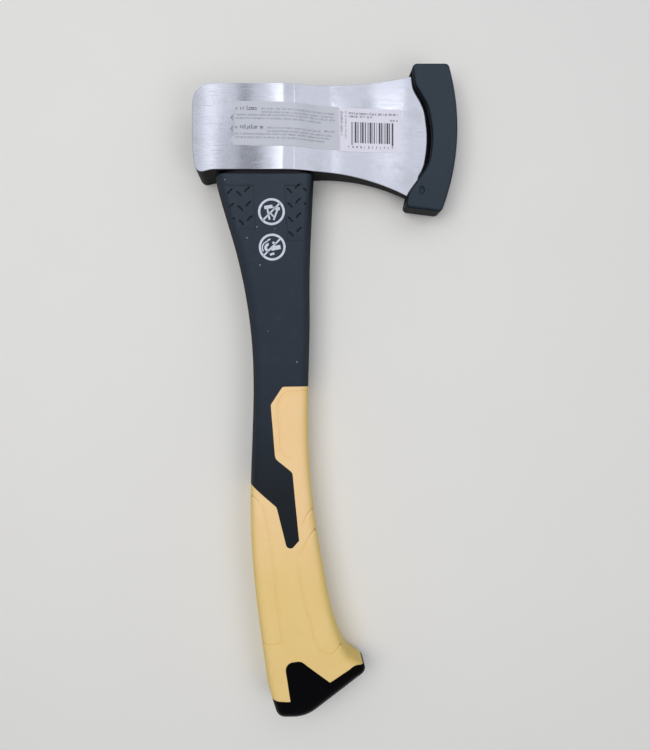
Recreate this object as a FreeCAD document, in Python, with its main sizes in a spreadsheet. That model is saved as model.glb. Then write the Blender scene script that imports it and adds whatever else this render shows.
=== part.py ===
import FreeCAD, Part
import math
import os

import Sketcher

# Camp hatchet with an epoxied fibreglass handle and a plastic guard on its bit.
#
# Frame, in millimetres: +X runs from the poll to the cutting edge, +Y along the handle
# towards the head, +Z up and square to the cheeks.  The hatchet lies on one cheek and on
# its butt, so both reach Z = 0, and the origin is on that cheek under the eye's centre.
# Every body is drawn about the hatchet's mid-plane and lifted by half the head's thickness.

Vector = FreeCAD.Vector

DRIVING_SIZES = [
    ("head_thickness", 26.0, "thickness over the cheeks"),
    ("poll_reach", 39.8, "eye centre to poll face"),
    ("cheek_top", 23.5, "eye centre to the top of the head"),
    ("cheek_bottom", 24.0, "eye centre to the underside of the head"),
    ("poll_radius", 11.0, "radius of the poll's upper corner"),
    ("poll_heel_radius", 4.0, "radius of the poll's lower corner"),
    ("bit_radius", 5.0, "corner radius of toe and heel"),
    ("toe_rise", 33.6, "eye centre to the toe"),
    ("heel_drop", 39.5, "eye centre to the heel"),
    ("edge_radius", 124.8, "radius of the cutting edge"),
    ("edge_centre_back", 20.9, "arc centre of the cutting edge, behind the eye"),
    ("edge_centre_rise", 1.5, "arc centre of the cutting edge, above the eye"),
    ("edge_half_thickness", 0.2, "half the thickness left at the cutting edge"),
    ("bevel_slope", 0.27, "rise of each ground bevel per millimetre"),
    ("eye_length_top", 50.0, "length of the eye at the top"),
    ("eye_width_top", 20.0, "width of the eye at the top"),
    ("eye_length_bottom", 46.0, "length of the eye at the underside"),
    ("eye_width_bottom", 17.5, "width of the eye at the underside"),
    ("core_width", 22.0, "width of the fibreglass bar"),
    ("core_thickness", 12.0, "thickness of the fibreglass bar"),
    ("core_recess", 0.6, "depth of the bar's end below the top of the head"),
    ("core_end", 300.0, "eye centre to the buried end of the bar"),
    ("core_tilt", 3.2, "lean of the bar, in degrees"),
    ("seal_thickness", 1.5, "seal between head and handle"),
    ("seal_margin", 2.5, "seal's rim beyond the eye"),
    ("butt_thickness", 26.0, "thickness of the butt"),
    ("blank_thickness", 30.0, "thickness the handle is shaped from"),
    ("long_edge_radius", 6.0, "rounding of the handle's long edges"),
    ("collar_radius", 1.2, "rounding of the handle's upper rim"),
    ("grip_depth", 2.2, "thickness of the soft grip"),
    ("field_depth", 0.25, "depth of the fields that hold the grooves"),
    ("groove_length", 4.6, "length of a groove"),
    ("groove_width", 1.1, "width of a groove"),
    ("groove_depth", 0.6, "depth of a groove"),
    ("guard_thickness", 14.0, "thickness of the blade guard"),
    ("guard_edge_radius", 1.3, "rounding of the guard's edges"),
    ("guard_outer_radius", 128.5, "outer arc of the guard"),
    ("guard_clearance", 0.3, "room between bit and guard"),
    ("film_thickness", 0.12, "thickness of a label"),
    ("label_tilt", 0.8, "lean of the care label, in degrees"),
]

doc = FreeCAD.newDocument("camp_hatchet")
sheet = doc.addObject("Spreadsheet::Sheet", "Dims")
for row, (alias, value, note) in enumerate(DRIVING_SIZES, start=1):
    sheet.set(f"A{row}", note)
    sheet.set(f"B{row}", str(value))
    sheet.setAlias(f"B{row}", alias)
doc.recompute()


def size(alias):
    """The number in one cell of the sheet."""
    return float(sheet.get(alias))


MID_HEIGHT = size("head_thickness") / 2
CUT_REACH = 200.0                  # longer than any cut has to run to each side


# ---------------------------------------------------------------- outlines

def point(place):
    return Vector(place[0], place[1], 0)


def line(start, end):
    return Part.LineSegment(point(start), point(end))


def arc(start, middle, end):
    return Part.Arc(point(start), point(middle), point(end))


def smooth(places, start_direction=None, end_direction=None):
    """A spline through places, with the direction given at each end if it matters."""
    curve = Part.BSplineCurve()
    options = {"Points": [point(place) for place in places]}
    if start_direction:
        options["InitialTangent"] = point(start_direction)
        options["FinalTangent"] = point(end_direction)
    curve.interpolate(**options)
    return curve


def turned(place, degrees):
    angle = math.radians(degrees)
    x, y = place
    return (x * math.cos(angle) - y * math.sin(angle), x * math.sin(angle) + y * math.cos(angle))


def rounded_run(corners, closed=False):
    """Straight runs through (x, y, radius) corners, with a tangent arc at each radius."""
    entries = []
    exits = []
    arcs = []
    count = len(corners)
    for index, (x, y, radius) in enumerate(corners):
        here = Vector(x, y, 0)
        if radius == 0:
            entries.append(here)
            exits.append(here)
            arcs.append(None)
            continue
        before = Vector(*corners[index - 1][:2], 0)
        after = Vector(*corners[(index + 1) % count][:2], 0)
        back = (before - here).normalize()
        ahead = (after - here).normalize()
        half_angle = back.getAngle(ahead) / 2
        setback = radius / math.tan(half_angle)
        bisector = (back + ahead).normalize()
        middle = here + bisector * (radius / math.sin(half_angle) - radius)
        entries.append(here + back * setback)
        exits.append(here + ahead * setback)
        arcs.append(Part.Arc(entries[-1], middle, exits[-1]))
    curves = []
    for index in range(count):
        if arcs[index]:
            curves.append(arcs[index])
        if index + 1 < count or closed:
            curves.append(Part.LineSegment(exits[index], entries[(index + 1) % count]))
    return curves


# ---------------------------------------------------------------- bodies, sketches, features

def new_body(name):
    """An empty body whose own mid-plane lies at the hatchet's mid-plane."""
    body = doc.addObject("PartDesign::Body", name)
    body.Label = name
    body.setExpression(".Placement.Base.z", "Dims.head_thickness / 2")
    return body


def origin_feature(body, role):
    return next(item for item in body.Origin.OriginFeatures if item.Role == role)


def new_sketch(body, plane, name, *loops):
    """A sketch of closed loops, each a list of curves that follow one another."""
    sketch = body.newObject("Sketcher::SketchObject", name)
    sketch.AttachmentSupport = [(origin_feature(body, plane), "")]
    sketch.MapMode = "FlatFace"
    for curves in loops:
        indices = [sketch.addGeometry(curve, False) for curve in curves]
        for here, following in zip(indices, indices[1:] + indices[:1]):
            join(sketch, here, following)
    return sketch


def join(sketch, first, second):
    """Makes the ends at which two neighbouring curves meet coincident."""
    gap, end, start = min(
        (sketch.getPoint(first, a).distanceToPoint(sketch.getPoint(second, b)), a, b)
        for a in (2, 1) for b in (1, 2))
    if gap > 0.001:
        raise ValueError(f"{sketch.Name}: curves {first} and {second} don't meet")
    sketch.addConstraint(Sketcher.Constraint("Coincident", first, end, second, start))


def hold(sketch, curve, end, direction, expression):
    """Binds one coordinate of a curve's end (1 start, 2 end, 3 centre) to the sheet."""
    place = sketch.getPoint(curve, end)
    value = place.x if direction == "DistanceX" else place.y
    index = sketch.addConstraint(Sketcher.Constraint(direction, -1, 1, curve, end, value))
    sketch.setExpression(f"Constraints[{index}]", expression)


def hold_radius(sketch, curve, expression):
    index = sketch.addConstraint(
        Sketcher.Constraint("Radius", curve, sketch.Geometry[curve].Radius))
    sketch.setExpression(f"Constraints[{index}]", expression)


def pad(body, sketch, length_expression):
    feature = body.newObject("PartDesign::Pad", f"{body.Name}_pad")
    feature.Profile = sketch
    feature.SideType = "Symmetric"
    feature.setExpression("Length", length_expression)
    doc.recompute()
    return feature


def cut_through(body, sketch, name):
    """A pocket that runs through the whole body to both sides of its sketch."""
    before = body.Shape.Volume
    feature = body.newObject("PartDesign::Pocket", name)
    feature.Profile = sketch
    feature.SideType = "Symmetric"
    feature.Length = 2 * CUT_REACH
    doc.recompute()
    if body.Shape.Volume >= before - 0.001:
        raise ValueError(f"{name} cuts nothing")
    return feature


def fillet(body, name, wanted, radius_expression):
    """Rounds the edges of the body's last feature that wanted() picks."""
    base = body.Tip
    names = [f"Edge{index}" for index, edge in enumerate(base.Shape.Edges, start=1) if wanted(edge)]
    feature = body.newObject("PartDesign::Fillet", name)
    feature.Base = (base, names)
    feature.setExpression("Radius", radius_expression)
    doc.recompute()
    return feature


def boolean(kind, name, base, tool):
    """A Part boolean: kind is Cut, Common or Fuse."""
    feature = doc.addObject(f"Part::{kind}", name)
    feature.Label = name
    feature.Base = base
    feature.Tool = tool
    doc.recompute()
    return feature


def is_upright(edge):
    ends = [vertex.Point for vertex in edge.Vertexes]
    return len(ends) == 2 and ends[0].distanceToPoint(Vector(ends[1].x, ends[1].y, ends[0].z)) < 0.001


# ---------------------------------------------------------------- axe head

SHOULDER_X = 9.0                   # where the flat cheeks end and the blade starts to thin
TOP_ARC_START = (12.0, size("cheek_top"))
TOP_ARC_MIDDLE = (52.0, 26.0)
TOP_ARC_END = (91.0, 33.6)
UNDER_ARC_START = (27.0, -24.0)
UNDER_ARC_MIDDLE = (60.0, -28.5)
UNDER_ARC_END = (86.0, -39.5)

# The poll as (x, y, radius) corners: its underside flares a little towards a leaning face.
POLL = [(-26.0, -size("cheek_bottom"), 0), (-29.0, -size("cheek_bottom"), 15.0),
        (-37.9, -26.3, size("poll_heel_radius")), (-size("poll_reach"), -12.0, 40.0),
        (-size("poll_reach"), size("cheek_top"), size("poll_radius")), (*TOP_ARC_START, 0)]

# The blade's half thickness at distances from the eye: a smooth shoulder, then a long hollow.
BLADE_HALF_THICKNESS = [(SHOULDER_X, 13.0), (15.0, 12.65), (21.0, 11.3), (30.0, 8.6), (43.0, 6.6),
                        (60.0, 4.6), (80.0, 3.4), (112.0, 1.6)]
SHOULDER_DIRECTION = (1.0, 0.0)
BIT_DIRECTION = (1.0, -0.05)


def edge_arc_x(y, radius):
    """Where an arc about the cutting edge's centre crosses height y."""
    rise = y - size("edge_centre_rise")
    return math.sqrt(radius ** 2 - rise ** 2) - size("edge_centre_back")


def blade_surface(lift):
    """The upper side of the blade, raised by lift, as a spline in X and Z."""
    places = [(x, half + lift) for x, half in BLADE_HALF_THICKNESS]
    return smooth(places, SHOULDER_DIRECTION, BIT_DIRECTION)


def above_blade(lift, ceiling=25.0):
    """The loop of everything above the blade's upper side."""
    surface = blade_surface(lift)
    start = (surface.StartPoint.x, surface.StartPoint.y)
    end = (surface.EndPoint.x, surface.EndPoint.y)
    corner_end = (end[0], ceiling)
    corner_start = (start[0], ceiling)
    return [surface, line(end, corner_end), line(corner_end, corner_start), line(corner_start, start)]


def thin_the_blade(body, lift):
    """Cuts the hollow and the ground bevel of one side, then mirrors both to the other side."""
    hollow_sketch = new_sketch(body, "XZ_Plane", f"{body.Name}_hollow_sketch", above_blade(lift))
    hollow = cut_through(body, hollow_sketch, f"{body.Name}_hollow")

    radius = size("edge_radius")
    edge_height = size("edge_half_thickness") + lift
    run_in = 14.0
    run_out = 9.0
    inner = (radius - run_in, edge_height + run_in * size("bevel_slope"))
    inner_top = (inner[0], inner[1] + 9.0)
    edge = (radius, edge_height)
    outer = (radius + run_out, edge_height)
    outer_top = (radius + run_out, inner_top[1])
    bevel_sketch = new_sketch(body, "XZ_Plane", f"{body.Name}_bevel_sketch", [
        line(inner, edge), line(edge, outer), line(outer, outer_top),
        line(outer_top, inner_top), line(inner_top, inner)])
    bevel_sketch.setExpression(".AttachmentOffset.Base.x", "-Dims.edge_centre_back")
    bevel_sketch.setExpression(".AttachmentOffset.Base.z", "-Dims.edge_centre_rise")
    hold(bevel_sketch, 0, 2, "DistanceX", "Dims.edge_radius")
    bevel = body.newObject("PartDesign::Groove", f"{body.Name}_bevel")
    bevel.Profile = bevel_sketch
    bevel.ReferenceAxis = (bevel_sketch, ["V_Axis"])
    bevel.Angle = 360
    doc.recompute()

    mirror = body.newObject("PartDesign::Mirrored", f"{body.Name}_both_sides")
    mirror.Originals = [hollow, bevel]
    mirror.MirrorPlane = (origin_feature(body, "XY_Plane"), [""])
    body.Tip = mirror
    doc.recompute()


def slot_curves(half_length, half_width):
    """A slot: two straight sides and two round ends."""
    flat = half_length - half_width
    return [line((-flat, half_width), (flat, half_width)),
            arc((flat, half_width), (half_length, 0), (flat, -half_width)),
            line((flat, -half_width), (-flat, -half_width)),
            arc((-flat, -half_width), (-half_length, 0), (-flat, half_width))]


def slot_sketch(body, name, length_alias, width_alias, height_expression, margin_expression="0"):
    """A slot across the handle's direction, at a height along the handle."""
    margin = size(margin_expression.split(".")[-1]) if margin_expression != "0" else 0.0
    half_length = size(length_alias) / 2 + margin
    half_width = size(width_alias) / 2 + margin
    sketch = new_sketch(body, "XZ_Plane", name, slot_curves(half_length, half_width))
    sketch.setExpression(".AttachmentOffset.Base.z", f"-({height_expression})")
    for curve, sign in ((1, ""), (3, "-")):
        hold(sketch, curve, 3, "DistanceX", f"{sign}(Dims.{length_alias} - Dims.{width_alias}) / 2")
    hold_radius(sketch, 1, f"Dims.{width_alias} / 2 + {margin_expression}")
    return sketch


def eye_loft(body, kind):
    """The tapered eye, from the underside to the top of the head."""
    below = slot_sketch(body, f"{body.Name}_eye_below", "eye_length_bottom", "eye_width_bottom",
                        "-Dims.cheek_bottom")
    above = slot_sketch(body, f"{body.Name}_eye_above", "eye_length_top", "eye_width_top",
                        "Dims.cheek_top")
    feature = body.newObject(f"PartDesign::{kind}Loft", f"{body.Name}_eye")
    feature.Profile = below
    feature.Sections = [above]
    doc.recompute()


def make_axe_head():
    body = new_body("axe_head")
    toe = size("toe_rise")
    heel = -size("heel_drop")
    radius = size("edge_radius")
    toe_tip = (edge_arc_x(toe, radius), toe)
    heel_tip = (edge_arc_x(heel, radius), heel)
    apex = (radius - size("edge_centre_back"), size("edge_centre_rise"))
    outline = new_sketch(body, "XY_Plane", "axe_head_outline", [
        arc(TOP_ARC_START, TOP_ARC_MIDDLE, TOP_ARC_END),
        line(TOP_ARC_END, toe_tip),
        arc(toe_tip, apex, heel_tip),
        line(heel_tip, UNDER_ARC_END),
        arc(UNDER_ARC_END, UNDER_ARC_MIDDLE, UNDER_ARC_START),
        line(UNDER_ARC_START, POLL[0][:2])]
        + rounded_run(POLL))
    hold(outline, 5, 2, "DistanceY", "-Dims.cheek_bottom")
    hold(outline, 12, 1, "DistanceX", "-Dims.poll_reach")
    hold(outline, 12, 2, "DistanceX", "-Dims.poll_reach")
    hold(outline, 14, 1, "DistanceY", "Dims.cheek_top")
    hold(outline, 14, 2, "DistanceY", "Dims.cheek_top")
    hold(outline, 2, 3, "DistanceX", "-Dims.edge_centre_back")
    hold(outline, 2, 3, "DistanceY", "Dims.edge_centre_rise")
    hold_radius(outline, 2, "Dims.edge_radius")
    pad(body, outline, "Dims.head_thickness")

    def at_bit(edge):
        return is_upright(edge) and edge.Vertexes[0].X > toe_tip[0] - 5

    fillet(body, "axe_head_bit_corners", at_bit, "Dims.bit_radius")
    thin_the_blade(body, 0.0)
    eye_loft(body, "Subtractive")
    return body


# ---------------------------------------------------------------- core, epoxy and seal in the eye

def make_core():
    """A straight bar that leans so that it stays inside the curved handle."""
    body = new_body("fibreglass_core")
    top = size("cheek_top") - size("core_recess")
    bottom = -size("core_end")
    section = new_sketch(body, "XZ_Plane", "fibreglass_core_section",
                         slot_curves(size("core_width") / 2, size("core_thickness") / 2))
    hold_radius(section, 1, "Dims.core_thickness / 2")
    section.AttachmentOffset = FreeCAD.Placement(Vector(0, 0, -(top + bottom) / 2), FreeCAD.Rotation())
    pad(body, section, "Dims.core_end + Dims.cheek_top - Dims.core_recess")
    body.setExpression(".Placement.Rotation.Angle", "Dims.core_tilt")
    return body


def make_eye_epoxy(core):
    fill = new_body("eye_fill")
    eye_loft(fill, "Additive")
    return boolean("Cut", "eye_epoxy", fill, core)


def make_eye_seal(core):
    """A thin foam ring that keeps the liquid epoxy in the eye."""
    disc = new_body("seal_disc")
    section = slot_sketch(disc, "seal_disc_section", "eye_length_bottom", "eye_width_bottom",
                          "-Dims.cheek_bottom - Dims.seal_thickness / 2", "Dims.seal_margin")
    pad(disc, section, "Dims.seal_thickness")
    return boolean("Cut", "eye_seal", disc, core)


# ---------------------------------------------------------------- handle

COLLAR_Y = -(size("cheek_bottom") + size("seal_thickness"))

# The two long sides, from the collar down, seen square to the cheeks.
REAR_SIDE = [(-27.9, COLLAR_Y), (-25.3, -37.4), (-17.2, -64.7), (-11.0, -92.0), (-7.5, -119.0),
             (-6.6, -149.0), (-8.1, -203.0), (-5.2, -258.0), (0.3, -299.0), (5.0, -320.0)]
FRONT_SIDE = [(27.3, COLLAR_Y), (26.4, -43.6), (24.9, -83.0), (25.0, -105.6), (23.9, -159.0),
              (27.0, -210.0), (33.6, -251.0), (41.8, -283.0), (48.2, -293.4)]
COLLAR_DIRECTION_REAR = (0.15, -1.0)
COLLAR_DIRECTION_FRONT = (-0.06, -1.0)
# The flared knob at the butt, as (x, y, radius) corners from the front side round to the rear.
KNOB = [(58.1, -299.7, 3.2), (22.8, -326.8, 22.0), (7.2, -326.8, 5.0)]

BUTT_START = -285.0                # from here to the end both faces are flat
# Half thickness along the handle: (y, half thickness), slim in the middle and full at the butt.
SIDE_PROFILE = [(-20.0, 12.55), (-60.0, 12.0), (-100.0, 10.7), (-150.0, 10.3), (-200.0, 11.0),
                (-250.0, 12.1), (BUTT_START, size("butt_thickness") / 2)]
PROFILE_END = -345.0


def direction(start, end):
    length = math.hypot(end[0] - start[0], end[1] - start[1])
    return ((end[0] - start[0]) / length, (end[1] - start[1]) / length)


def inset_places(places, directions, amount):
    """The places of a smooth side moved by amount to its left, seen along its direction."""
    curve = smooth(places, *directions)
    moved = []
    for place in places:
        tangent = curve.tangent(curve.parameter(point(place)))[0]
        moved.append((place[0] - tangent.y * amount, place[1] + tangent.x * amount))
    return moved


def inset_corners(corners, amount):
    """An open polyline of (x, y, radius) corners moved by amount to its right."""
    lines = []
    for (x0, y0, _), (x1, y1, _) in zip(corners, corners[1:]):
        length = math.hypot(x1 - x0, y1 - y0)
        shift_x = (y1 - y0) / length * amount
        shift_y = -(x1 - x0) / length * amount
        lines.append((x0 + shift_x, y0 + shift_y, x1 - x0, y1 - y0))
    moved = [(lines[0][0], lines[0][1], 0)]
    for index, (x, y, radius) in enumerate(corners[1:-1]):
        ax, ay, adx, ady = lines[index]
        bx, by, bdx, bdy = lines[index + 1]
        along = ((bx - ax) * bdy - (by - ay) * bdx) / (adx * bdy - ady * bdx)
        moved.append((ax + along * adx, ay + along * ady, radius))
    last = lines[-1]
    moved.append((last[0] + last[2], last[1] + last[3], 0))
    return moved


def handle_loop(inset):
    """The outline of the handle, moved inwards by inset except at the collar."""
    front_directions = (COLLAR_DIRECTION_FRONT, direction(FRONT_SIDE[-1], KNOB[0]))
    rear_directions = (COLLAR_DIRECTION_REAR, direction(REAR_SIDE[-1], KNOB[-1]))
    front = inset_places(FRONT_SIDE, front_directions, -inset)
    rear = inset_places(REAR_SIDE, rear_directions, inset)
    knob = inset_corners([FRONT_SIDE[-1] + (0,)] + KNOB + [REAR_SIDE[-1] + (0,)], inset)
    front_curve = smooth(front, *front_directions)
    rear_curve = smooth(rear, *rear_directions)
    rear_curve.reverse()
    return [front_curve] + rounded_run(knob) + [rear_curve, line(rear[0], front[0])]


def side_curve(lift):
    """Half thickness of the handle plus lift, from the collar to the flat butt."""
    places = [(y, half + lift) for y, half in SIDE_PROFILE]
    return smooth(places, (-1.0, -0.01), (-1.0, 0.0))


def outside_profile(lift, sign):
    """The loop of everything beyond the handle's upper (+1) or lower (-1) face."""
    ceiling = size("blank_thickness")
    face = side_curve(lift)
    start = (face.StartPoint.x, face.StartPoint.y)
    end = (face.EndPoint.x, face.EndPoint.y)
    flat_end = (PROFILE_END, end[1])
    loop = [face, line(end, flat_end), line(flat_end, (PROFILE_END, ceiling)),
            line((PROFILE_END, ceiling), (start[0], ceiling)), line((start[0], ceiling), start)]
    if sign < 0:
        for curve in loop:
            curve.mirror(Vector(0, 0, 0), Vector(1, 0, 0))
    return loop


def make_handle_blank(name, inset):
    """The whole outer form of the handle, or the same form moved inwards by inset."""
    body = new_body(name)
    outline = new_sketch(body, "XY_Plane", f"{name}_outline", handle_loop(inset))
    pad(body, outline, "Dims.blank_thickness")
    profile = new_sketch(body, "YZ_Plane", f"{name}_profile",
                         outside_profile(-inset, 1), outside_profile(-inset, -1))
    cut_through(body, profile, f"{name}_faces")

    def is_long(edge):
        first = edge.Vertexes[0]
        last = edge.Vertexes[-1]
        crosses_face = any(abs(first.Y - y) < 0.01 and abs(last.Y - y) < 0.01
                           for y in (COLLAR_Y, BUTT_START))
        return first.Z * last.Z > 0 and not crosses_face

    fillet(body, f"{name}_long_edges", is_long, f"Dims.long_edge_radius - {inset}")
    return body


def round_the_collar(body):
    def at_collar(edge):
        return all(abs(vertex.Y - COLLAR_Y) < 0.01 for vertex in edge.Vertexes)

    fillet(body, f"{body.Name}_collar", at_collar, "Dims.collar_radius")


# ---------------------------------------------------------------- soft grip

# The grip's upper border on both faces, from the front side down to the rear side.
GRIP_BORDER = [(70.0, -142.5, 0), (9.8, -143.4, 1.5), (3.2, -153.4, 2.5), (5.7, -183.2, 4.0),
               (15.2, -190.9, 3.0), (18.9, -228.3, 1.2), (12.9, -235.0, 2.4), (6.5, -209.9, 3.0),
               (-30.0, -178.4, 0)]
# The border round the butt: a strip at the rear, the window and the rim of the knob.
BUTT_BORDER = [(-30.0, -316.3, 0), (14.2, -316.3, 0), (11.0, -295.3, 4.4), (19.8, -294.0, 4.2),
               (35.9, -305.8, 0.8), (49.4, -296.7, 5.0), (70.0, -299.5, 0)]


def make_grip_zone():
    """A prism through the handle of all that is soft grip."""
    body = new_body("grip_zone")
    down = list(reversed(GRIP_BORDER))
    corners = down + list(reversed(BUTT_BORDER))
    outline = new_sketch(body, "XY_Plane", "grip_zone_outline", rounded_run(corners, closed=True))
    pad(body, outline, "Dims.blank_thickness + 10")
    return body


# ---------------------------------------------------------------- grooves by the collar

# Recessed fields on both sides of the smooth middle panel.
REAR_FIELD = [(-60.0, -32.5), (-6.1, -32.5), (-5.0, -56.7), (-60.0, -56.7)]
FRONT_FIELD = [(10.8, -32.5), (60.0, -32.5), (60.0, -63.0), (12.5, -63.0)]

# Columns of slanted grooves: (x and y of the top one, slant in degrees, how many, drift).
# Each lower groove of a column sits further forward by the drift.
GROOVE_COLUMNS = [(-19.2, -35.9, 45, 3, 0.7), (-14.1, -37.2, -45, 3, 0.7), (-9.7, -34.8, 45, 3, 0.7),
                  (13.6, -35.5, -45, 4, 0.3), (18.0, -33.1, 45, 4, 0.3), (22.6, -35.5, -45, 2, 0.3)]
GROOVE_PITCH = 7.9


def loop_of(places):
    return [line(here, following) for here, following in zip(places, places[1:] + places[:1])]


def make_recesses(name, loops, depth):
    """Prisms over both faces of the handle that reach down to a depth below them."""
    body = new_body(name)
    plan = new_sketch(body, "XY_Plane", f"{name}_plan", *loops)
    pad(body, plan, "Dims.blank_thickness")
    upper = side_curve(-depth)
    lower = side_curve(-depth)
    lower.mirror(Vector(0, 0, 0), Vector(1, 0, 0))
    start_up = (upper.StartPoint.x, upper.StartPoint.y)
    start_down = (lower.StartPoint.x, lower.StartPoint.y)
    end_up = (upper.EndPoint.x, upper.EndPoint.y)
    end_down = (lower.EndPoint.x, lower.EndPoint.y)
    middle = new_sketch(body, "YZ_Plane", f"{name}_middle_section", [
        upper, line(end_up, end_down), lower, line(start_down, start_up)])
    cut_through(body, middle, f"{name}_middle")
    return body


def groove_loop(x, y, slant):
    """The plan of one groove: a slim hexagon with pointed ends that leans by slant degrees."""
    tip = size("groove_length") / 2
    shoulder = tip / 2
    side = size("groove_width") / 2
    corners = [(-tip, 0), (-shoulder, side), (shoulder, side),
               (tip, 0), (shoulder, -side), (-shoulder, -side)]
    places = []
    for corner in corners:
        dx, dy = turned(corner, slant)
        places.append((x + dx, y + dy))
    return loop_of(places)


def make_grooves():
    loops = []
    for x, top_y, slant, count, drift in GROOVE_COLUMNS:
        for step in range(count):
            loops.append(groove_loop(x + drift * step, top_y - GROOVE_PITCH * step, slant))
    return make_recesses("grooves", loops, size("field_depth") + size("groove_depth"))


def make_handle(core):
    """The hard jacket round the core, and the soft grip that lies flush in it."""
    outer = make_handle_blank("handle_form", 0.0)
    round_the_collar(outer)
    inner = make_handle_blank("rebate_form", size("grip_depth"))
    rebate = boolean("Cut", "rebate", make_grip_zone(), inner)
    grip = boolean("Common", "grip_overmould", outer, rebate)
    rebated = boolean("Cut", "jacket_rebated", outer, rebate)
    bored = boolean("Cut", "jacket_bored", rebated, core)
    field_loops = [loop_of(REAR_FIELD), loop_of(FRONT_FIELD)]
    fields = make_recesses("groove_fields", field_loops, size("field_depth"))
    with_fields = boolean("Cut", "jacket_with_fields", bored, fields)
    jacket = boolean("Cut", "handle_jacket", with_fields, make_grooves())
    return jacket, grip


# ---------------------------------------------------------------- blade guard

GUARD_TOP = 37.3
GUARD_FOOT_Y = -45.6
# The mouth, where the bit comes out, as (x, y, radius) corners from the foot to the top.
GUARD_MOUTH = [(78.3, -43.0, 0), (80.4, -34.4, 10.0), (91.6, -19.0, 18.0), (94.0, -3.0, 50.0),
               (91.0, 13.5, 18.0), (83.8, 25.5, 12.0), (82.0, GUARD_TOP, 0)]
CAVITY_BACK = 70.0
DIMPLE_PLACE = (87.5, -33.7)
DIMPLE_HALF_SIZES = (0.8, 1.6, 2.4)         # depth, then half the width and half the length


def make_guard_form():
    body = new_body("guard_form")
    radius = size("guard_outer_radius")
    top_front = (edge_arc_x(GUARD_TOP, radius), GUARD_TOP)
    foot_front = (edge_arc_x(GUARD_FOOT_Y, radius), GUARD_FOOT_Y)
    apex = (radius - size("edge_centre_back"), size("edge_centre_rise"))
    foot_rear = GUARD_MOUTH[0][:2]
    top_rear = GUARD_MOUTH[-1][:2]
    outline = new_sketch(body, "XY_Plane", "guard_form_outline", [
        line(top_rear, top_front), arc(top_front, apex, foot_front), line(foot_front, foot_rear)]
        + rounded_run(GUARD_MOUTH))
    hold(outline, 1, 3, "DistanceX", "-Dims.edge_centre_back")
    hold_radius(outline, 1, "Dims.guard_outer_radius")
    pad(body, outline, "Dims.guard_thickness")

    def is_outer_corner(edge):
        return is_upright(edge) and abs(edge.Vertexes[0].Y) > 36

    fillet(body, "guard_form_corners", is_outer_corner, "Dims.guard_edge_radius * 2")

    def is_rim(edge):
        heights = [vertex.Z for vertex in edge.Vertexes]
        return heights[0] * heights[-1] > 0

    fillet(body, "guard_form_rims", is_rim, "Dims.guard_edge_radius")
    return body


def make_guard_cavity():
    """The bit with some room round it, straight along X so that the guard pulls off."""
    body = new_body("guard_cavity")
    room = size("guard_clearance")
    radius = size("edge_radius") + room
    top = size("toe_rise") + room
    bottom = -size("heel_drop") - room
    top_tip = (edge_arc_x(top, radius), top)
    bottom_tip = (edge_arc_x(bottom, radius), bottom)
    apex = (radius - size("edge_centre_back"), size("edge_centre_rise"))
    outline = new_sketch(body, "XY_Plane", "guard_cavity_outline", [
        line((CAVITY_BACK, top), top_tip), arc(top_tip, apex, bottom_tip),
        line(bottom_tip, (CAVITY_BACK, bottom)), line((CAVITY_BACK, bottom), (CAVITY_BACK, top))])
    hold_radius(outline, 1, "Dims.edge_radius + Dims.guard_clearance")
    pad(body, outline, "Dims.guard_thickness")
    thin_the_blade(body, room)
    return body


def make_blade_guard():
    shell = boolean("Cut", "guard_shell", make_guard_form(), make_guard_cavity())
    dimple = doc.addObject("Part::Ellipsoid", "guard_dimple")
    dimple.Radius1, dimple.Radius2, dimple.Radius3 = DIMPLE_HALF_SIZES
    face_height = MID_HEIGHT + size("guard_thickness") / 2
    dimple.Placement = FreeCAD.Placement(Vector(*DIMPLE_PLACE, face_height), FreeCAD.Rotation())
    return boolean("Cut", "blade_guard", shell, dimple)


# ---------------------------------------------------------------- labels on the upper cheek

SEAM_X = 41.1                      # where the code label starts and the care label ends
CARE_LABEL_REAR = -16.5
CARE_LABEL_TOP = 13.2
CARE_LABEL_BOTTOM = -11.0
CARE_LABEL_TEETH = 4
CARE_LABEL_TOOTH = 2.4
CODE_LABEL = [(SEAM_X, -12.0, 0.8), (77.1, -12.0, 0.8), (77.1, 12.4, 0.8), (SEAM_X, 12.4, 0.8)]


def care_label_loop():
    """A rectangle with a toothed rear edge, leaning a little."""
    height = CARE_LABEL_TOP - CARE_LABEL_BOTTOM
    half_pitch = height / (2 * CARE_LABEL_TEETH)
    teeth = []
    for step in range(2 * CARE_LABEL_TEETH + 1):
        reach = CARE_LABEL_TOOTH if step % 2 else 0.0
        teeth.append((CARE_LABEL_REAR - reach, CARE_LABEL_BOTTOM + step * half_pitch))
    leaning = [turned(place, -size("label_tilt")) for place in teeth]
    front_top = turned((SEAM_X, CARE_LABEL_TOP), -size("label_tilt"))
    front_bottom = turned((SEAM_X, CARE_LABEL_BOTTOM), -size("label_tilt"))
    return loop_of(leaning + [(SEAM_X, front_top[1]), (SEAM_X, front_bottom[1])])


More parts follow.
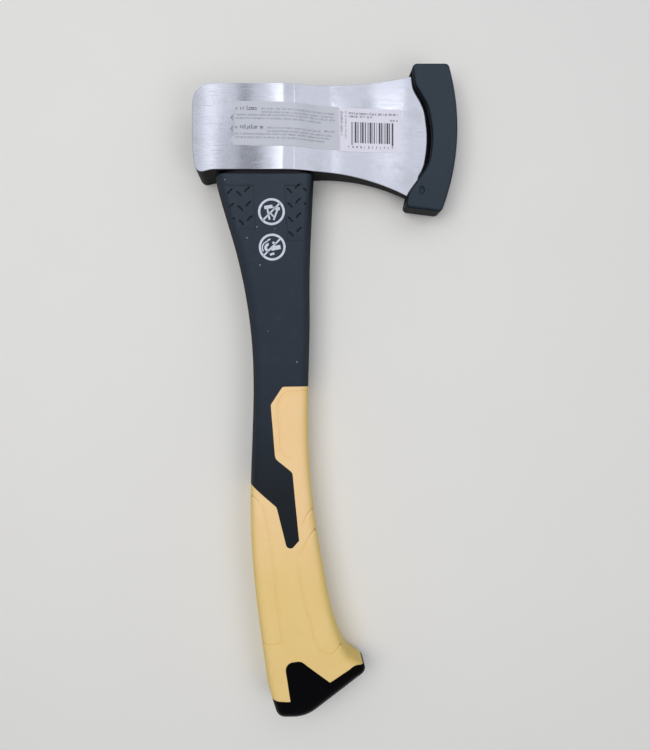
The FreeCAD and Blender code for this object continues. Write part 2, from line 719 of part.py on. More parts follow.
def make_label(name, plan_loop):
    """A film that follows the cheek: a prism cut above and below the film."""
    body = new_body(name)
    plan = new_sketch(body, "XY_Plane", f"{name}_plan", plan_loop)
    pad(body, plan, "Dims.head_thickness + 2")
    film = size("film_thickness")
    flat = size("head_thickness") / 2
    far_back = -60.0
    far_front = 112.0
    under = blade_surface(0.0)
    over = blade_surface(film)
    floor = -30.0
    ceiling = 30.0
    below = [line((far_back, flat), (SHOULDER_X, flat)), under,
             line((under.EndPoint.x, under.EndPoint.y), (far_front, floor)),
             line((far_front, floor), (far_back, floor)), line((far_back, floor), (far_back, flat))]
    top = flat + film
    above = [line((far_back, top), (SHOULDER_X, top)), over,
             line((over.EndPoint.x, over.EndPoint.y), (far_front, ceiling)),
             line((far_front, ceiling), (far_back, ceiling)), line((far_back, ceiling), (far_back, top))]
    cut_through(body, new_sketch(body, "XZ_Plane", f"{name}_under", below), f"{name}_lower_cut")
    cut_through(body, new_sketch(body, "XZ_Plane", f"{name}_over", above), f"{name}_upper_cut")
    return body


# ---------------------------------------------------------------- build, check and export

axe_head = make_axe_head()
fibreglass_core = make_core()
eye_epoxy = make_eye_epoxy(fibreglass_core)
eye_seal = make_eye_seal(fibreglass_core)
handle_jacket, grip_overmould = make_handle(fibreglass_core)
blade_guard = make_blade_guard()
care_label = make_label("care_label", care_label_loop())
code_label = make_label("code_label", rounded_run(CODE_LABEL, closed=True))
doc.recompute()

SUB_PARTS = [axe_head, fibreglass_core, eye_epoxy, eye_seal, handle_jacket, grip_overmould,
             blade_guard, care_label, code_label]

failed = [item.Name for item in doc.Objects if "Invalid" in item.State or "Error" in item.State]
if failed:
    raise RuntimeError(f"objects that didn't compute: {failed}")
for part in SUB_PARTS:
    if part.Shape.isNull() or not part.Shape.isValid():
        raise RuntimeError(f"{part.Label} has no valid shape")

os.makedirs("parts", exist_ok=True)
for part in SUB_PARTS:
    part.Shape.exportStep(f"parts/{part.Label}.step")
    print(part.Label, len(part.Shape.Solids), "solids", round(part.Shape.Volume), "mm3")
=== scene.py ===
"""The finished look of the camp axe in its blade guard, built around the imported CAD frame.

Lengths in the tables are millimetres in the frame's axes: +X from the poll to the cutting edge,
+Y along the handle to the head, +Z up. MM turns them into Blender's metres.
"""

import math
import random
from itertools import combinations

import bmesh
import bpy
from mathutils import Matrix, Vector
from mathutils.bvhtree import BVHTree
from mathutils.geometry import barycentric_transform, delaunay_2d_cdt
from mathutils.kdtree import KDTree


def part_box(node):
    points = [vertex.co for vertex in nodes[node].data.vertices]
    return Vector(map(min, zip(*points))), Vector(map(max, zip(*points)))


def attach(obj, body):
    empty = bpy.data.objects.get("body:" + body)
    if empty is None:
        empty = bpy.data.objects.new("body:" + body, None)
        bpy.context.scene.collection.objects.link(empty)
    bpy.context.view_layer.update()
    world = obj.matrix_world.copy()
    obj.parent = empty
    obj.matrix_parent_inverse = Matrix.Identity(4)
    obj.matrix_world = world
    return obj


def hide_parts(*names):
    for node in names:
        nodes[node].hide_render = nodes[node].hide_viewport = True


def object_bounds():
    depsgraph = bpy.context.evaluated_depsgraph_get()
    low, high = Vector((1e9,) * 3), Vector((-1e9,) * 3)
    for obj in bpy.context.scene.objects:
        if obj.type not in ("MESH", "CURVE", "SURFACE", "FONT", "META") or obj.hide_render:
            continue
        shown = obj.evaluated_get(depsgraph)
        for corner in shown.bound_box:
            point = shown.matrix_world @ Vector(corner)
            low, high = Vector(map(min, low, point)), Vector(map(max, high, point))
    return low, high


MM = 0.001

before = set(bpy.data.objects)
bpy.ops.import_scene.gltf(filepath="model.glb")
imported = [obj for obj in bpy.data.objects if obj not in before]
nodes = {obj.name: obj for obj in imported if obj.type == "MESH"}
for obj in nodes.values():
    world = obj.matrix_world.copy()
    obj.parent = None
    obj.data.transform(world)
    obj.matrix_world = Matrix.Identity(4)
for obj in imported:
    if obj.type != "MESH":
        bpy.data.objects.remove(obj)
cad_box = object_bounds()
MIDDLE_HEIGHT = cad_box[1].z / MM / 2

# ---------------------------------------------------------------- camera

CAMERA_PLACE = Vector((13.9, -136.9, 377.0)) * MM
SENSOR = 36.0
LENS = 30.72
SIDE_SHIFT = 0.046667              # in picture heights


def add_camera():
    """The camera looks straight down on the axe from close above it."""
    data = bpy.data.cameras.new("camera")
    data.sensor_width = SENSOR
    data.lens = LENS
    data.shift_x = SIDE_SHIFT
    data.clip_start = 0.01
    camera = bpy.data.objects.new("camera", data)
    camera.location = CAMERA_PLACE
    bpy.context.scene.collection.objects.link(camera)
    bpy.context.scene.camera = camera


# ---------------------------------------------------------------- materials


class Finish:
    """A node material. Its methods add one node each and return the socket to use next."""

    def __init__(self, name):
        self.material = bpy.data.materials.new(name)
        self.material.use_nodes = True
        self.tree = self.material.node_tree
        self.surface = self.tree.nodes["Principled BSDF"]

    def add(self, kind, output=0, settings=None, **inputs):
        """A node of this kind; inputs are numbers, colours or other nodes' sockets."""
        node = self.tree.nodes.new(kind)
        for key, value in (settings or {}).items():
            setattr(node, key, value)
        for key, value in inputs.items():
            self.feed(node.inputs[key.replace("_", " ")], value)
        return node.outputs[output]

    def feed(self, socket, value):
        if isinstance(value, bpy.types.NodeSocket):
            self.tree.links.new(value, socket)
        else:
            socket.default_value = value

    def place(self, stretch=(1, 1, 1), turn=(0, 0, 0)):
        """The point in millimetres on the object, stretched and turned."""
        here = self.add("ShaderNodeTexCoord", output="Object")
        scale = tuple(s / MM for s in stretch)
        return self.add("ShaderNodeMapping", Vector=here, Scale=scale, Rotation=turn)

    def noise(self, place, scale, detail=3.0, roughness=0.55):
        return self.add("ShaderNodeTexNoise", output="Fac", Vector=place, Scale=scale,
                        Detail=detail, Roughness=roughness)

    def ramp(self, value, low, high):
        """A smooth step: 0 below low, 1 above high."""
        return self.add("ShaderNodeMapRange", settings={"interpolation_type": "SMOOTHSTEP"},
                        Value=value, From_Min=low, From_Max=high)

    def between(self, value, at_low, at_high):
        """value from 0 to 1 turned into a number from at_low to at_high."""
        return self.add("ShaderNodeMapRange", Value=value, To_Min=at_low, To_Max=at_high)

    def maths(self, operation, first, second=0.0):
        node = self.tree.nodes.new("ShaderNodeMath")
        node.operation = operation
        self.feed(node.inputs[0], first)
        self.feed(node.inputs[1], second)
        return node.outputs[0]

    def blend(self, factor, first, second):
        """A colour between first and second."""
        node = self.tree.nodes.new("ShaderNodeMix")
        node.data_type = "RGBA"
        self.feed(node.inputs[0], factor)
        self.feed(node.inputs[6], first)
        self.feed(node.inputs[7], second)
        return node.outputs[2]

    def bump(self, height, depth):
        """A bumped normal; depth is in millimetres."""
        return self.add("ShaderNodeBump", Height=height, Distance=depth * MM, Strength=1.0)

    def finish(self, **inputs):
        """Fills in the surface shader and returns the material."""
        for key, value in inputs.items():
            self.feed(self.surface.inputs[key.replace("_", " ")], value)
        return self.material


def colour(red, green, blue):
    """A display colour, 0 to 255 a channel, as the linear colour that shaders take."""
    def linear(c):
        c /= 255
        return c / 12.92 if c <= 0.04045 else ((c + 0.055) / 1.055) ** 2.4
    return (linear(red), linear(green), linear(blue), 1.0)


def ground_steel():
    """Bare steel, ground along X, with uneven bands, deeper single scratches and dull blotches."""
    finish = Finish("ground_steel")
    fine = finish.noise(finish.place((0.08, 4.0, 1.0)), 1.6, 4)
    coarse = finish.noise(finish.place((0.02, 0.9, 1.0)), 1.0, 3)
    blotch = finish.noise(finish.place(), 0.06, 4)
    scratch = finish.ramp(finish.noise(finish.place((0.05, 2.2, 1.0)), 1.1, 2), 0.66, 0.72)
    tone = finish.blend(fine, colour(186, 189, 200), colour(208, 210, 221))
    tone = finish.blend(finish.ramp(blotch, 0.45, 0.75), tone, colour(186, 189, 198))
    tone = finish.blend(finish.maths("MULTIPLY", scratch, 0.2), tone, colour(140, 142, 150))
    roughness = finish.maths("ADD", finish.between(fine, 0.09, 0.14),
                             finish.between(coarse, -0.02, 0.03))
    heights = finish.maths("ADD", finish.maths("MULTIPLY", fine, 0.6),
                           finish.maths("MULTIPLY", scratch, -0.5))
    return finish.finish(
        Base_Color=tone,
        Metallic=1.0,
        Roughness=roughness,
        Anisotropic=0.85,
        Tangent=finish.add("ShaderNodeCombineXYZ", X=0.0, Y=1.0, Z=0.0),
        Normal=finish.bump(heights, 0.006),
    )


def edge_paint():
    """The thin brownish-black coat on the head's narrow sides, rubbed through in specks."""
    finish = Finish("edge_paint")
    grain = finish.noise(finish.place(), 1.4, 5)
    cloud = finish.noise(finish.place(), 0.12, 3)
    worn = finish.ramp(finish.noise(finish.place(), 0.9, 6, 0.7), 0.68, 0.74)
    tone = finish.blend(cloud, colour(8, 8, 8), colour(22, 20, 19))
    tone = finish.blend(finish.maths("MULTIPLY", worn, 0.5), tone, colour(96, 90, 88))
    return finish.finish(
        Base_Color=tone,
        Roughness=finish.between(grain, 0.42, 0.6),
        Metallic=finish.maths("MULTIPLY", worn, 0.7),
        Specular_IOR_Level=0.06,
        Normal=finish.bump(grain, 0.05),
    )


def honed_steel():
    """The bright bevel behind the cutting edge, honed with fine strokes square to the edge."""
    finish = Finish("honed_steel")
    strokes = finish.noise(finish.place((0.25, 6.0, 1.0)), 1.8, 3)
    cloud = finish.noise(finish.place(), 0.15, 3)
    tone = finish.blend(strokes, colour(206, 208, 216), colour(232, 233, 240))
    return finish.finish(
        Base_Color=finish.blend(finish.maths("MULTIPLY", cloud, 0.3), tone, colour(186, 188, 196)),
        Metallic=1.0,
        Roughness=finish.between(strokes, 0.16, 0.28),
        Normal=finish.bump(strokes, 0.004),
    )


def moulded_plastic(name, dark, light, roughness, grain_depth, butt_tone=None):
    """Dark moulded plastic: spark-etched grain, faint flow marks, hair scratches and haze.

    Recesses and steep sides are painted darker and less glossy, as painted shade. With a
    butt_tone the colour is also painted darker towards the butt, as painted shade, and then
    turns to that tone at the butt of the handle, smoother but less mirroring.
    """
    finish = Finish(name)
    grain = finish.noise(finish.place(), 2.6, 3)
    flow = finish.noise(finish.place((0.9, 0.25, 1.0)), 0.05, 3)
    haze = finish.noise(finish.place(), 0.16, 5)
    scratch = finish.ramp(finish.noise(finish.place((0.35, 3.0, 1.0), (0, 0, 0.9)), 0.7, 2),
                          0.7, 0.74)
    tone = finish.blend(flow, dark, light)
    tone = finish.blend(finish.maths("MULTIPLY", finish.ramp(haze, 0.5, 0.8), 0.1), tone,
                        colour(84, 90, 100))
    tone = finish.blend(finish.maths("MULTIPLY", scratch, 0.12), tone, colour(130, 136, 146))
    dullness = finish.between(haze, roughness - 0.07, roughness + 0.09)
    # Painted shade: ambient occlusion turns the colour near-black and lowers the gloss in recesses
    # and grooves.
    openness = finish.add("ShaderNodeAmbientOcclusion", output="AO", settings={"samples": 4},
                          Distance=1.4 * MM)
    unshaded = finish.ramp(openness, 0.35, 0.95)
    tone = finish.blend(unshaded, colour(5, 6, 8), tone)
    # Painted shade: faces that turn away from straight up take a near-black colour and less gloss.
    level = finish.maths("ABSOLUTE", finish.add(
        "ShaderNodeSeparateXYZ", output="Z",
        Vector=finish.add("ShaderNodeTexCoord", output="Normal")))
    flat = finish.ramp(level, 0.3, 0.98)
    tone = finish.blend(flat, colour(9, 11, 14), tone)
    gloss = finish.maths("MULTIPLY", finish.between(unshaded, 0.1, 0.5),
                         finish.between(flat, 0.06, 1.0))
    if butt_tone:
        along = finish.add("ShaderNodeSeparateXYZ", output="Y", Vector=finish.place())
        # Painted shade: the colour darkens towards the butt between Y -120 and -235.
        tone = finish.blend(finish.ramp(along, -235.0, -120.0), colour(13, 19, 25), tone)
        upper = finish.ramp(along, -286.0, -262.0)
        tone = finish.blend(upper, butt_tone, tone)
        dullness = finish.maths("SUBTRACT", dullness, finish.between(upper, 0.2, 0.0))
        gloss = finish.maths("MULTIPLY", gloss, finish.between(upper, 0.2, 1.0))
    return finish.finish(
        Base_Color=tone,
        Roughness=dullness,
        Specular_IOR_Level=gloss,
        Normal=finish.bump(grain, grain_depth),
    )


def print_ink(name, tone, worn_tone):
    """Printed ink with a mottled cover and a dull surface."""
    finish = Finish(name)
    cover = finish.ramp(finish.noise(finish.place(), 1.6, 4), 0.3, 0.7)
    return finish.finish(
        Base_Color=finish.blend(cover, worn_tone, tone),
        Roughness=finish.between(cover, 0.55, 0.7),
    )


def grip_rubber():
    """Soft yellow elastomer with a fine matt grain, painted darker as shade where the sides turn
    away.
    """
    finish = Finish("grip_elastomer")
    grain = finish.noise(finish.place(), 3.0, 3)
    cloud = finish.noise(finish.place(), 0.05, 4)
    rub = finish.ramp(finish.noise(finish.place(), 0.3, 5), 0.55, 0.8)
    height = finish.add("ShaderNodeSeparateXYZ", output="Z",
                        Vector=finish.add("ShaderNodeTexCoord", output="Normal"))
    upward = finish.ramp(finish.maths("ABSOLUTE", height), 0.35, 0.98)
    along = finish.add("ShaderNodeSeparateXYZ", output="Y", Vector=finish.place())
    upper = finish.ramp(along, -262.0, -205.0)
    pale = finish.blend(upper, colour(246, 216, 148), colour(255, 222, 168))
    deep = finish.blend(upper, colour(240, 208, 136), colour(252, 212, 156))
    tone = finish.blend(cloud, deep, pale)
    tone = finish.blend(finish.maths("MULTIPLY", rub, 0.3), tone, colour(236, 200, 130))
    # Painted shade: faces that turn away from straight up take a darker, more saturated yellow.
    tone = finish.blend(upward, colour(228, 198, 108), tone)
    return finish.finish(
        Base_Color=tone,
        Roughness=finish.between(grain, 0.5, 0.68),
        Subsurface_Weight=0.08,
        Subsurface_Radius=(1.2 * MM, 0.8 * MM, 0.3 * MM),
        Normal=finish.bump(grain, 0.05),
    )


def cast_resin():
    """Dark amber resin set in the eye, with a glassy skin and a few trapped bubbles."""
    finish = Finish("cast_resin")
    cloud = finish.noise(finish.place(), 0.25, 4)
    bubbles = finish.add("ShaderNodeTexVoronoi", output="Distance", Vector=finish.place(),
                         Scale=0.45)
    bubble = finish.ramp(bubbles, 0.18, 0.1)
    tone = finish.blend(cloud, colour(30, 26, 22), colour(62, 50, 38))
    return finish.finish(
        Base_Color=finish.blend(bubble, tone, colour(104, 92, 74)),
        Roughness=finish.between(cloud, 0.12, 0.26),
        Coat_Weight=0.4,
        Normal=finish.bump(finish.maths("ADD", cloud, bubble), 0.12),
    )


def fibre_rod():
    """Pultruded glass fibre: pale strands along the rod in translucent resin."""
    finish = Finish("fibreglass")
    strand = finish.noise(finish.place((3.2, 0.03, 3.2)), 1.6, 3)
    cut = finish.noise(finish.place(), 2.4, 4)
    tone = finish.blend(finish.ramp(strand, 0.35, 0.7), colour(168, 158, 112), colour(222, 214, 178))
    tone = finish.blend(finish.maths("MULTIPLY", cut, 0.25), tone, colour(240, 236, 214))
    return finish.finish(
        Base_Color=tone,
        Roughness=finish.between(strand, 0.35, 0.6),
        Subsurface_Weight=0.2,
        Subsurface_Radius=(1.5 * MM, 1.5 * MM, 1.0 * MM),
        Normal=finish.bump(finish.maths("ADD", strand, cut), 0.05),
    )


def foam_rubber():
    """Closed-cell foam of the seal under the eye: small pores in a dull skin."""
    finish = Finish("foam_rubber")
    pores = finish.add("ShaderNodeTexVoronoi", output="Distance", Vector=finish.place(),
                       Scale=1.8)
    cloud = finish.noise(finish.place(), 0.4, 4)
    return finish.finish(
        Base_Color=finish.blend(cloud, colour(24, 24, 26), colour(44, 44, 46)),
        Roughness=finish.between(cloud, 0.7, 0.9),
        Normal=finish.bump(finish.ramp(pores, 0.1, 0.45), 0.12),
    )


def label_film(name, tone, shade, roughness, clearness):
    """Thin printed film, slightly rippled by the ground steel under it."""
    finish = Finish(name)
    ripple = finish.noise(finish.place((0.06, 1.4, 1.0)), 1.0, 3)
    cloud = finish.noise(finish.place(), 0.09, 4)
    return finish.finish(
        Base_Color=finish.blend(cloud, tone, shade),
        Roughness=finish.between(ripple, roughness - 0.05, roughness + 0.08),
        Metallic=clearness,
        Coat_Weight=0.25,
        Coat_Roughness=0.2,
        Normal=finish.bump(ripple, 0.01),
    )


def give(name, material):
    """A CAD node gets this material in place of its plain one."""
    mesh = nodes[name].data
    mesh.materials.clear()
    mesh.materials.append(material)


# ---------------------------------------------------------------- pieces

WELD = 0.004                       # corners closer than this become one
SHARP = math.radians(32)           # edges that fold more than this stay sharp


def welded(name):
    """A CAD node's mesh as one connected bmesh."""
    form = bmesh.new()
    form.from_mesh(nodes[name].data)
    bmesh.ops.remove_doubles(form, verts=form.verts, dist=WELD * MM)
    return form


def piece(name, form, body, slot, *materials):
    """A new object from a bmesh, riding on a body."""
    mesh = bpy.data.meshes.new(name)
    form.to_mesh(mesh)
    form.free()
    for material in materials:
        mesh.materials.append(material)
    made = bpy.data.objects.new(name, mesh)
    bpy.context.scene.collection.objects.link(made)
    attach(made, body)
    return made


PHONG = 0.75                       # how far a facet is rounded towards its normals
STEEPEST = 0.5                     # lowest upward part of a normal on the sheet
RISING = 0.01                      # a face whose normal rises less than this is left out


class Sheet:
    """The upper sheet of a CAD node, above the height lowest: its places and smooth normals."""

    def __init__(self, name, lowest):
        mesh = nodes[name].data
        corner_normals = mesh.corner_normals
        self.places = []
        self.normals = []
        self.triangles = []
        self.slopes = set()
        known = {}
        for polygon in mesh.polygons:
            if polygon.normal.z < RISING or polygon.center.z < lowest * MM:
                continue
            triangle = []
            for loop in polygon.loop_indices:
                place = mesh.vertices[mesh.loops[loop].vertex_index].co / MM
                key = tuple(round(value, 2) for value in place)
                if key not in known:
                    known[key] = len(self.places)
                    self.places.append(place)
                    self.normals.append(corner_normals[loop].vector.copy())
                triangle.append(known[key])
            if polygon.normal.z < STEEPEST:
                self.slopes.update(frozenset(pair) for pair in combinations(triangle, 2))
            elif len(set(triangle)) == 3:
                self.triangles.append(triangle)
        self.tree = BVHTree.FromPolygons(self.places, self.triangles)

    def border(self):
        """The edges that only one triangle uses, in that triangle's direction."""
        used = {}
        for triangle in self.triangles:
            for index in range(3):
                edge = (triangle[index], triangle[(index + 1) % 3])
                used[frozenset(edge)] = used.get(frozenset(edge), []) + [edge]
        return [edges[0] for edges in used.values() if len(edges) == 1]

    def point(self, x, y):
        """The sheet's curved surface over (x, y) and its normal, or None beside the sheet."""
        hit, _, index, _ = self.tree.ray_cast(Vector((x, y, 100)), Vector((0, 0, -1)))
        if hit is None:
            return None
        corners = [self.places[i] for i in self.triangles[index]]
        normals = [self.normals[i] for i in self.triangles[index]]
        normal = barycentric_transform(hit, *corners, *normals).normalized()
        on_planes = [hit - (hit - c).dot(n) * n for c, n in zip(corners, normals)]
        curved = hit.lerp(barycentric_transform(hit, *corners, *on_planes), PHONG)
        curved.z = min(curved.z, max(corner.z for corner in corners))
        return curved, normal


HEAD_CHAMFER = 0.55
CHAMFER_ARC = 3                    # faces across each rounded edge
MERGED_FOLD = math.radians(0.4)    # neighbouring faces that fold less than this become one
PAINTED, HONED = 1, 2
BEVEL_START = 84.0                 # the honed bevel lies past this X
# The upright part of a face's normal. Below STEEP the face is painted; past BEVEL_START and
# below BEVEL_TILT it is on the bevel; above LEVEL it takes the CAD surface's normals, unless it
# shares corners with a face above FLAT.
STEEP = 0.6
BEVEL_TILT = 0.985
LEVEL = 0.9
FLAT = 0.9996


def steady_normals(mesh, apart, sheet):
    """Corner normals weighed by face area, so that flat faces stay flat beside rounded edges.

    Faces with the material index apart are smoothed among themselves only. The hollow sides of
    the blade take the CAD surface's own smooth normals; both sides of the head are alike.
    """
    flat = {index for polygon in mesh.polygons if abs(polygon.normal.z) > FLAT
            for index in polygon.vertices}
    sums = {}
    for polygon in mesh.polygons:
        for index in polygon.vertices:
            key = (index, polygon.material_index == apart)
            sums[key] = sums.get(key, Vector()) + polygon.normal * polygon.area
    normals = []
    for polygon in mesh.polygons:
        for index in polygon.vertices:
            normal = sums[(index, polygon.material_index == apart)].normalized()
            hollow = abs(polygon.normal.z) > LEVEL and index not in flat
            if hollow and polygon.material_index != apart:
                place = mesh.vertices[index].co / MM
                found = sheet.point(place.x, place.y)
                if found and found[1].z > LEVEL:
                    normal = found[1].copy()
                    normal.z = math.copysign(normal.z, polygon.normal.z)
            normals.append(normal)
    mesh.normals_split_custom_set(normals)


def add_head(steel, paint, honed):
    """The head with its edges broken: ground cheeks, a honed bevel and paint on the narrow sides."""
    form = welded("axe_head")
    bmesh.ops.dissolve_limit(form, angle_limit=MERGED_FOLD, verts=form.verts, edges=form.edges)
    sharp = [e for e in form.edges if e.is_manifold and e.calc_face_angle(0) > SHARP]
    bmesh.ops.bevel(form, geom=sharp, offset=HEAD_CHAMFER * MM, segments=CHAMFER_ARC,
                    profile=0.5, affect="EDGES", clamp_overlap=False)
    for face in form.faces:
        face.smooth = True
        level = abs(face.normal.z)
        on_bevel = level < BEVEL_TILT and face.calc_center_median().x > BEVEL_START * MM
        if level < STEEP:
            face.material_index = PAINTED
        elif on_bevel:
            face.material_index = HONED
    head = piece("head_ground", form, "hatchet", "ground_steel", steel, paint, honed)
    steady_normals(head.data, HONED, Sheet("axe_head", MIDDLE_HEIGHT))
    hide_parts("axe_head")


# ---------------------------------------------------------------- soft grip

# Moulded lines on the grip, as points along each line: two pads at the front, one at the rear
# and two short strokes between them.
GRIP_LINES = [
    [(24.2, -145.6), (17, -146.2), (11.7, -146.9), (7.5, -153.4), (8.3, -166), (9.5, -178.4),
     (16, -184.4)],
    [(27.4, -210.2), (23.3, -214.9), (20.6, -221)],
    [(29.6, -220.6), (25, -226.4), (18.6, -237.4)],
    [(18.2, -240.7), (19.7, -249.7), (23.6, -266.9), (27.8, -282.3), (31.6, -289), (35.5, -290.6),
     (40, -288), (43.6, -283.4)],
    [(-7.8, -203.9), (-1, -209.5), (0.9, -217.5), (3.7, -231.2), (6.1, -253.2), (8.2, -270.4),
     (9.6, -280.5), (8.6, -284.4), (1.6, -285.6), (-1.2, -285)],
]
LINE_DEPTH = 0.55
LINE_HALF_WIDTH = 1.0
LINE_ROWS = (0, -0.3, 0.3, -0.6, 0.6, -0.85, 0.85, -1.25, 1.25)   # in half widths
LINE_FADE = 3.5                    # length at each end over which a line runs out
LINE_END_SHARE = 0.25              # depth left at the very end
LINE_STEP = 0.6
GRIP_GRID = 1.6
GRIP_SPACING = 0.15                # no two points of the new mesh share a cell of this size
SEAM_DROP = 0.16
SEAM_STEP = 0.8
SEAM_ROWS = (0.4, 0.88)            # distances in from the grip's border


def smooth_run(corners, step):
    """Points about step apart along a smooth curve through corners, each with its place on it."""
    ends = [tuple(2 * a - b for a, b in zip(corners[0], corners[1]))]
    ends += corners
    ends.append(tuple(2 * a - b for a, b in zip(corners[-1], corners[-2])))
    run = []
    for p0, p1, p2, p3 in zip(ends, ends[1:], ends[2:], ends[3:]):
        count = max(1, round(math.dist(p1, p2) / step))
        for index in range(count):
            t = index / count
            run.append(Vector([
                0.5 * (2 * b + (c - a) * t + (2 * a - 5 * b + 4 * c - d) * t * t
                       + (3 * b - a - 3 * c + d) * t ** 3)
                for a, b, c, d in zip(p0, p1, p2, p3)]))
    run.append(Vector(corners[-1]))
    return run


def line_depths(runs):
    """For each point of each moulded line, how deep the line is there: it fades at both ends."""
    places = []
    depths = []
    for run in runs:
        length = LINE_STEP * (len(run) - 1)
        for index, place in enumerate(run):
            from_end = min(index * LINE_STEP, length - index * LINE_STEP)
            places.append(place)
            share = LINE_END_SHARE + (1 - LINE_END_SHARE) * from_end / LINE_FADE
            depths.append(LINE_DEPTH * min(1.0, share))
    return places, depths


def add_grip(rubber):
    """The soft grip: the CAD surface with its moulded lines sunk in and its borders eased."""
    sheet = Sheet("grip_overmould", MIDDLE_HEIGHT)
    runs = [smooth_run(line, LINE_STEP) for line in GRIP_LINES]
    border = sheet.border()
    used = sorted(set(i for triangle in sheet.triangles for i in triangle))
    fresh = [sheet.places[i].xy for i in used]
    place_in_plan = {index: number for number, index in enumerate(used)}
    taken = set((round(p.x / GRIP_SPACING), round(p.y / GRIP_SPACING)) for p in fresh)

    def offer(x, y):
        """One more point of the new mesh, if it lies on the sheet and not on another point."""
        key = (round(x / GRIP_SPACING), round(y / GRIP_SPACING))
        if key not in taken and sheet.point(x, y):
            taken.add(key)
            fresh.append(Vector((x, y)))

    for run in runs:
        for before, here, after in zip(run, run[1:], run[2:]):
            side = (after - before).orthogonal().normalized()
            for share in LINE_ROWS:
                place = here + side * share * LINE_HALF_WIDTH
                offer(*place)
    seams = [edge for edge in border if frozenset(edge) not in sheet.slopes]
    for start, end in seams:
        a, b = sheet.places[start].xy, sheet.places[end].xy
        inward = Vector((a.y - b.y, b.x - a.x)).normalized()
        count = max(1, round((b - a).length / SEAM_STEP))
        for index in range(count):
            place = a.lerp(b, (index + 0.5) / count)
            for distance in SEAM_ROWS:
                offer(*(place + inward * distance))
    low, high = (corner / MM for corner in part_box("grip_overmould"))
    rows = int((high.y - low.y) / GRIP_GRID)
    columns = int((high.x - low.x) / GRIP_GRID)
    for row in range(rows):
        for column in range(columns):
            offer(low.x + (column + 0.5 * (row % 2)) * GRIP_GRID, low.y + row * GRIP_GRID)

    edges = [[place_in_plan[i] for i in edge] for edge in border]
    plan, _, faces, origins, _, _ = delaunay_2d_cdt(fresh, edges, [], 1, 1e-6)
    line_places, depths = line_depths(runs)
    near = KDTree(len(line_places))
    for index, place in enumerate(line_places):
        near.insert((place.x, place.y, 0), index)
    near.balance()

    form = bmesh.new()
    made = []
    for place, origin in zip(plan, origins):
        kept = [used[i] for i in origin if i < len(used)]
        if kept:
            spot, normal = sheet.places[kept[0]].copy(), sheet.normals[kept[0]]
        else:
            found = sheet.point(place.x, place.y)
            spot, normal = found if found else (Vector((place.x, place.y, 0)), Vector((0, 0, 1)))
            spot = Vector((place.x, place.y, spot.z))
        _, index, away = near.find((place.x, place.y, 0))
        if away < LINE_HALF_WIDTH:
            share = 0.5 + 0.5 * math.cos(math.pi * away / LINE_HALF_WIDTH)
            spot -= normal * depths[index] * share
        made.append(form.verts.new(spot * MM))
    for face in faces:
        form.faces.new([made[i] for i in face])
    eased = set(tuple(sheet.places[i]) for edge in seams for i in edge)

    def on_sheet(face):
        return (face.normal.z >= STEEPEST
                and face.calc_center_median().z >= MIDDLE_HEIGHT * MM)

    rest = bmesh.new()
    rest.from_mesh(nodes["grip_overmould"].data)
    bmesh.ops.delete(rest, geom=[f for f in rest.faces if on_sheet(f)], context="FACES")
    scrap = bpy.data.meshes.new("scrap")
    rest.to_mesh(scrap)
    rest.free()
    form.from_mesh(scrap)
    bpy.data.meshes.remove(scrap)
    bmesh.ops.remove_doubles(form, verts=form.verts, dist=WELD * MM)
    spots = KDTree(len(eased))
    for index, spot in enumerate(eased):
        spots.insert(Vector(spot) * MM, index)
    spots.balance()
    for vertex in form.verts:
        if spots.find(vertex.co)[2] < WELD * MM:
            vertex.co.z -= SEAM_DROP * MM
    bmesh.ops.recalc_face_normals(form, faces=form.faces)
    form.normal_update()
    for face in form.faces:
        face.smooth = True
    for edge in form.edges:
        inside = all(on_sheet(face) for face in edge.link_faces)
        edge.smooth = inside or edge.calc_face_angle(0) < SHARP
    grip = piece("grip_skin", form, "hatchet", "grip_elastomer", rubber)
    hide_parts("grip_overmould")


# ---------------------------------------------------------------- labels and print

FILM_DROP = 0.02
INK_LIFT = 0.008
SURFACE_STEP = 1.0                 # longest patch of a bar or a stroke
RING_STEP = 7.5                    # degrees of each patch of a ring
LETTER_WIDTH = 0.72                # the rest of this group is in letter heights or widths
LETTER_PITCH = 1.12
WORD_GAP = 0.6

# The strokes of made-up letters, each stroke as left, bottom, right, top in the letter's box.
LETTERS = [
    [(0, 0, 0.26, 1.0)],
    [(0, 0, 0.26, 1.0), (0.6, 0, 0.86, 1.0), (0.26, 0.76, 0.6, 1.0)],
    [(0, 0, 0.26, 1.0), (0.6, 0, 0.86, 1.0), (0.26, 0, 0.6, 0.24)],
    [(0, 0, 0.26, 1.0), (0.26, 0.76, 0.86, 1.0), (0.26, 0, 0.86, 0.24)],
    [(0, 0, 0.26, 1.5), (0.26, 0, 0.86, 0.24)],
    [(0, 0, 0.26, 1.0), (0.26, 0.76, 0.7, 1.0)],
    [(0.3, -0.4, 0.56, 1.0), (0.56, 0.38, 0.86, 0.62)],
]


